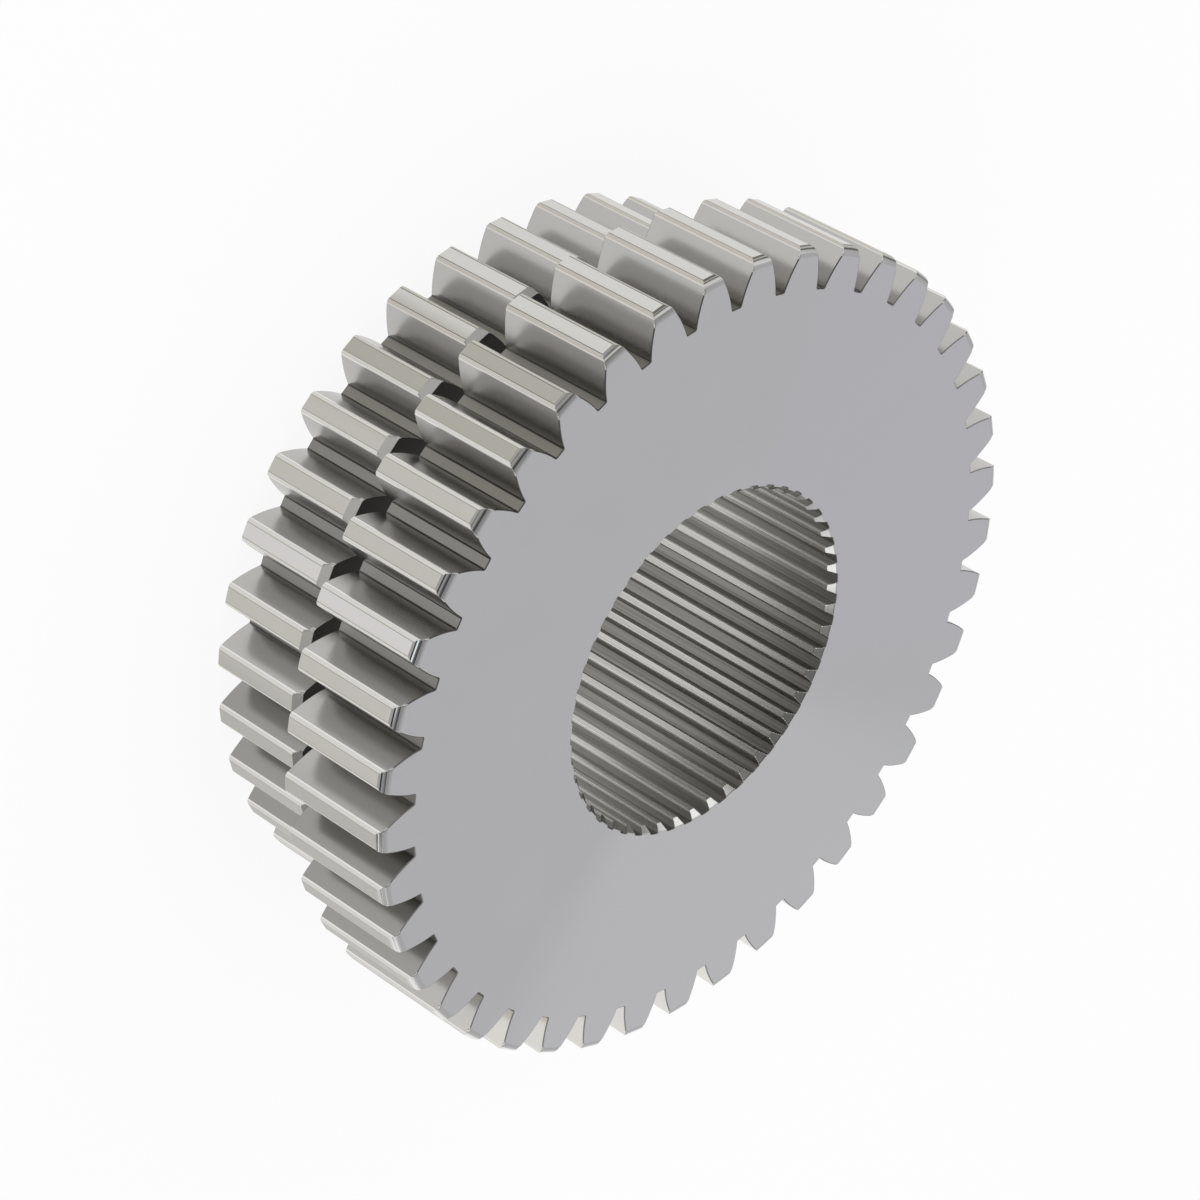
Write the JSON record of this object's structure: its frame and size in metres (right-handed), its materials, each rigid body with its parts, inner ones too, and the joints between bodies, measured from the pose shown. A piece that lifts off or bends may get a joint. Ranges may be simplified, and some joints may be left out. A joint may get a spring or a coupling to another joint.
{
  "type": "gear wheel",
  "caption": "Stepped spur gear wheel: a wide row of straight teeth, a groove and a smaller row, cut from one steel body with a splined bore through it.",
  "frame": {"origin": "on the wheel's axis, in the plane of the rear face that it lies on", "axes": "+Z along the axis, from the rear face to the front face with the larger row of teeth; +X through the middle of a tooth of that row"},
  "size_m": [0.1918, 0.1918, 0.0645],
  "materials": {
    "steel": "ground faces and cut tooth flanks, bare steel"
  },
  "bodies": {
    "root": {"gear_wheel": "steel"}
  },
  "joints": []
}
